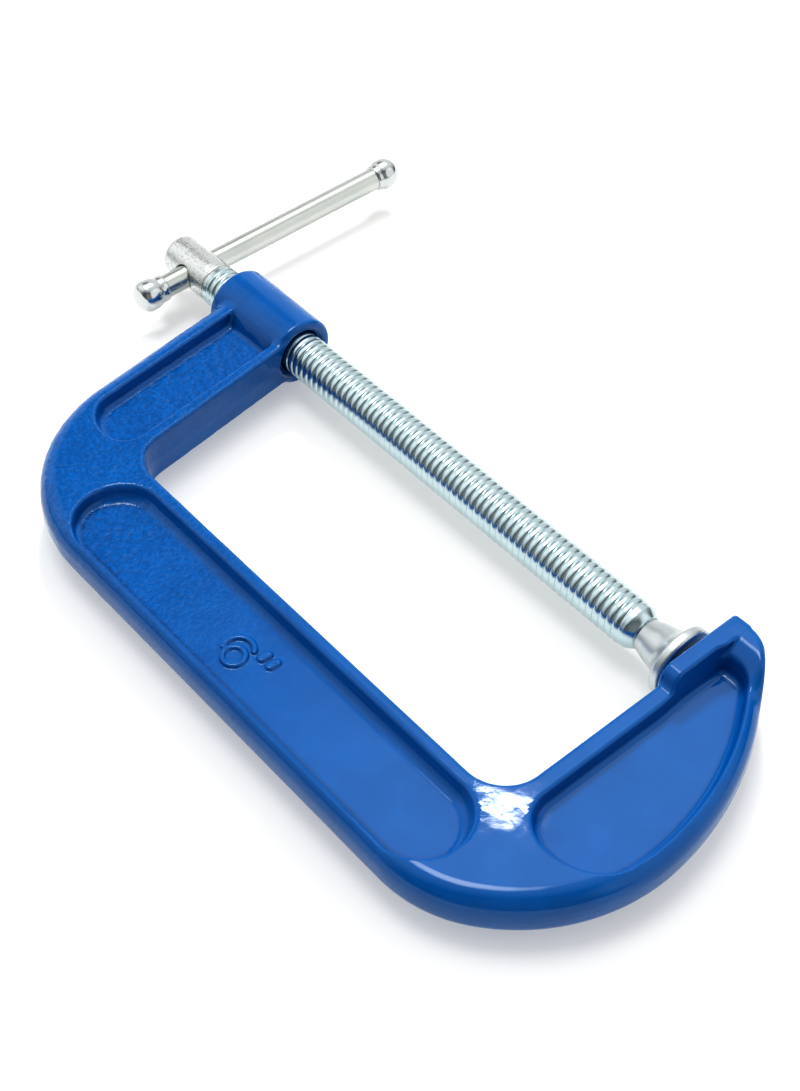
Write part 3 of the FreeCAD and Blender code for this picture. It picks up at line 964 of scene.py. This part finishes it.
def pebble_height(tree):
    """The enamel's pebbles: full on the upper arm's level faces, faint on the lower arm and the sides."""
    place = tree.nodes.new("ShaderNodeTexCoord")
    at = axes_of(tree, place.outputs["Object"])
    geometry = tree.nodes.new("ShaderNodeNewGeometry")
    up = axes_of(tree, geometry.outputs["Normal"])["Z"]
    masks = (
        map_range(tree, at["X"], *PEBBLE_UPPER_X, 0.02, 1.0),
        map_range(tree, at["Y"], *PEBBLE_BELOW_BOSS_Y, 0.25, 1.0),
        map_range(tree, math_node(tree, "MULTIPLY", up, up), *PEBBLE_LEVEL, 0.1, 1.0),
    )
    pebble = add_noise(tree, PEBBLE_GRAIN, 1.5)
    height = math_node(tree, "SUBTRACT", pebble.outputs["Fac"], 0.5)
    for mask in masks:
        height = math_node(tree, "MULTIPLY", height, mask)
    return height


def blue_enamel():
    """Glossy blue enamel over a casting, pebbled on the upper arm and smoother on the lower one."""
    material, tree, shader = new_material("blue_enamel")
    cloud = add_noise(tree, 90, 3.0)
    blue = colour_ramp(tree, cloud.outputs["Fac"], 0.30, ENAMEL_DEEP, 0.72, ENAMEL_LIGHT)
    gloss = add_noise(tree, 260)
    rough = map_range(tree, gloss.outputs["Fac"], 0.3, 0.7, *ENAMEL_ROUGH)
    tree.links.new(rough, shader.inputs["Roughness"])
    height = pebble_height(tree)
    # painted shade and light: the base colour is darker in the hollows between the pebbles and lighter on
    # their tops
    shade = map_range(tree, height, -0.16, 0.16, 0.84, 1.15)
    # painted shade: the base colour darkens down to 0.4 of itself in the inside corners, where another wall
    # stands close in front
    painted_corner_shade = tree.nodes.new("ShaderNodeAttribute")
    painted_corner_shade.attribute_name = "painted_corner_shade"
    corner_shade_factor = map_range(tree, painted_corner_shade.outputs["Fac"], 0.2, 0.85, 1.0, 0.40)
    scale = math_node(tree, "MULTIPLY", shade, corner_shade_factor)
    tree.links.new(grey_scaled(tree, blue, scale), shader.inputs["Base Color"])
    peel = add_noise(tree, PEEL_GRAIN, 1.0)
    normal = bump_from(tree, height, PEBBLE_BUMP)
    normal = bump_from(tree, peel.outputs["Fac"], PEEL_BUMP, normal)
    tree.links.new(normal, shader.inputs["Normal"])
    shader.inputs["IOR"].default_value = 1.45
    return material


def zinc(name, tint, rough, grain, bump_depth, stretch=None, specks=0.0):
    """Bright zinc plating with a faint cloudy tint, fine working marks and perhaps dark specks."""
    material, tree, shader = new_material(name)
    cloud = add_noise(tree, 130, 3.0)
    dull = (tint[0] * 0.92, tint[1] * 0.95, tint[2] * 0.95)
    colour = colour_ramp(tree, cloud.outputs["Fac"], 0.3, dull, 0.7, tint)
    if specks:
        speck = add_noise(tree, 1500, 2.0, 0.6)
        fade = map_range(tree, speck.outputs["Fac"], 0.34, 0.46, 1 - specks, 1.0)
        colour = grey_scaled(tree, colour, fade)
    tree.links.new(colour, shader.inputs["Base Color"])
    shader.inputs["Metallic"].default_value = 1.0
    marks = add_noise(tree, grain, 3.0, 0.6, stretch)
    tree.links.new(map_range(tree, marks.outputs["Fac"], 0.3, 0.7, *rough), shader.inputs["Roughness"])
    tree.links.new(bump_from(tree, marks.outputs["Fac"], bump_depth), shader.inputs["Normal"])
    return material


def table_white():
    """A plain matt white table that glows a little, so that its shadows stay pale."""
    material, _, shader = new_material("white_table")
    shader.inputs["Base Color"].default_value = (0.56, 0.56, 0.55, 1)
    shader.inputs["Roughness"].default_value = 0.9
    shader.inputs["Specular IOR Level"].default_value = 0.1
    shader.inputs["Emission Color"].default_value = (1.0, 1.0, 1.0, 1)
    shader.inputs["Emission Strength"].default_value = 0.29
    return material


# ---------------------------------------------------------------- stage

# Azimuth 0 is towards -Y and 90 towards +X, and angles are in degrees.
AIM = Vector((-0.0881, -0.0309, 0.0))
CAMERA_TOWARDS = (49.34, 47.95)
CAMERA_DISTANCE = 0.5406
LENS = 60.35
LAMP_DISTANCE = 2.4
KEY_TOWARDS = (228, 42)
WINDOW_TOWARDS = (223.6, 55.9)
CORNER = Vector((0.0030, -0.0737, RIM * MM))       # the flat at the throat's lower corner
FLOOR_HALF = 3.0
FLOOR_GAP = 0.0001                                 # between the clamp's lowest point and the floor
STUDIO_BASE = 0.09
# azimuth, elevation, how far from there it fades out, how far it is full, and its level
STUDIO = (
    (245, 50, 80, 42, 0.62),        # a wide light wall behind and above the clamp
    (248, 39, 16, 5, -0.46),        # a dark gap in it
    (213, 62, 19, 6, 0.80),         # a brighter patch high up in it
    (318, 36, 36, 12, 0.25),        # a faint wall on the camera's left
    (330, 4, 26, 8, 0.26),          # and a low one
    (122, 24, 38, 20, 0.70),        # a light wall on the camera's right
    (60, 15, 45, 20, 0.15),         # a faint wall behind the camera
    (262, 78, 16, 3, 6.5),          # a bright lamp overhead
)


def floor():
    """A wide plain floor under the clamp's lowest point."""
    z = cad_low.z - FLOOR_GAP
    corners = [(-FLOOR_HALF, -FLOOR_HALF, z), (FLOOR_HALF, -FLOOR_HALF, z),
               (FLOOR_HALF, FLOOR_HALF, z), (-FLOOR_HALF, FLOOR_HALF, z)]
    mesh = bpy.data.meshes.new("floor")
    mesh.from_pydata(corners, [], [(0, 1, 2, 3)])
    mesh.materials.append(table_white())
    plane = bpy.data.objects.new("floor", mesh)
    bpy.context.scene.collection.objects.link(plane)


def direction(azimuth, elevation):
    """Unit vector from the clamp towards an azimuth and an elevation."""
    a = math.radians(azimuth)
    e = math.radians(elevation)
    return Vector((math.sin(a) * math.cos(e), -math.cos(a) * math.cos(e), math.sin(e)))


def place_facing(piece, aim, towards, distance):
    """Stands a lamp or a camera off from a point in a direction, turned to look back at the point."""
    back = direction(*towards)
    piece.location = aim + back * distance
    piece.rotation_mode = "QUATERNION"
    piece.rotation_quaternion = back.to_track_quat("Z", "Y")
    bpy.context.scene.collection.objects.link(piece)


def area_light(name, aim, towards, width, height, power, colour=(1, 1, 1)):
    """A rectangular lamp that looks at a point of the clamp."""
    data = bpy.data.lights.new(name, "AREA")
    data.shape = "RECTANGLE"
    data.size = width
    data.size_y = height
    data.energy = power
    data.color = colour
    lamp = bpy.data.objects.new(name, data)
    place_facing(lamp, aim, towards, LAMP_DISTANCE)
    return lamp


def lamps():
    """A soft lamp behind the clamp that shades the pockets, and a narrow window that the enamel mirrors."""
    key = area_light("key", AIM, KEY_TOWARDS, 0.32, 0.32, 21.8)
    key.visible_glossy = False
    area_light("window", CORNER, WINDOW_TOWARDS, 0.092, 0.025, 0.24, (0.90, 0.90, 1.0))


def add_lobe(tree, vector, azimuth, elevation, outer, inner):
    """1 within an angle of a direction, 0 beyond a wider one, and smooth between."""
    dot = tree.nodes.new("ShaderNodeVectorMath")
    dot.operation = "DOT_PRODUCT"
    tree.links.new(vector, dot.inputs[0])
    dot.inputs[1].default_value = direction(azimuth, elevation)
    fade = tree.nodes.new("ShaderNodeMapRange")
    fade.interpolation_type = "SMOOTHSTEP"
    fade.inputs["From Min"].default_value = math.cos(math.radians(outer))
    fade.inputs["From Max"].default_value = math.cos(math.radians(inner))
    tree.links.new(dot.outputs["Value"], fade.inputs["Value"])
    return fade.outputs["Result"]


def world():
    """The studio that the enamel and the plating mirror, and a plain pale room for the camera."""
    w = bpy.data.worlds.new("studio")
    bpy.context.scene.world = w
    w.use_nodes = True
    tree = w.node_tree
    background = tree.nodes["Background"]
    place = tree.nodes.new("ShaderNodeTexCoord")
    total = None
    for azimuth, elevation, outer, inner, level in STUDIO:
        node = tree.nodes.new("ShaderNodeMath")
        node.operation = "MULTIPLY_ADD"
        lobe = add_lobe(tree, place.outputs["Generated"], azimuth, elevation, outer, inner)
        tree.links.new(lobe, node.inputs[0])
        node.inputs[1].default_value = level
        node.inputs[2].default_value = STUDIO_BASE
        if total:
            tree.links.new(total, node.inputs[2])
        total = node.outputs["Value"]
    tree.links.new(total, background.inputs["Color"])
    room = tree.nodes.new("ShaderNodeBackground")
    room.inputs["Color"].default_value = (0.8, 0.8, 0.8, 1)
    seen = tree.nodes.new("ShaderNodeLightPath")
    mix = tree.nodes.new("ShaderNodeMixShader")
    tree.links.new(seen.outputs["Is Camera Ray"], mix.inputs["Fac"])
    tree.links.new(background.outputs["Background"], mix.inputs[1])
    tree.links.new(room.outputs["Background"], mix.inputs[2])
    tree.links.new(mix.outputs["Shader"], tree.nodes["World Output"].inputs["Surface"])


def camera():
    """The camera, high beyond the corner between the spine and the lower arm."""
    data = bpy.data.cameras.new("camera")
    data.sensor_width = 36.0
    data.lens = LENS
    cam = bpy.data.objects.new("camera", data)
    place_facing(cam, AIM, CAMERA_TOWARDS, CAMERA_DISTANCE)
    bpy.context.scene.camera = cam


# ---------------------------------------------------------------- build

enamel = blue_enamel()
steel = zinc("zinc_steel", (0.58, 0.69, 0.72), (0.17, 0.25), 900, 0.00001)
head_steel = zinc("zinc_head", (0.72, 0.73, 0.72), (0.24, 0.34), 1100, 0.00003, specks=0.35)
pad_steel = zinc("zinc_pad", (0.64, 0.67, 0.68), (0.30, 0.40), 700, 0.00002)
bar_steel = zinc("zinc_bar", (0.62, 0.64, 0.61), (0.20, 0.32), 500, 0.00003, (1.0, 0.04, 1.0))
cap_steel = zinc("zinc_cap", (0.66, 0.68, 0.68), (0.12, 0.20), 900, 0.00001)

frame_casting(enamel)
screw_piece(steel, head_steel)
stud_piece(steel)
pad_piece(pad_steel)
bar_piece(bar_steel)
near_cap(cap_steel)
far_cap(cap_steel)

floor()
world()
lamps()
camera()
bpy.context.scene.view_settings.view_transform = "Standard"
bpy.context.scene.view_settings.look = "High Contrast"
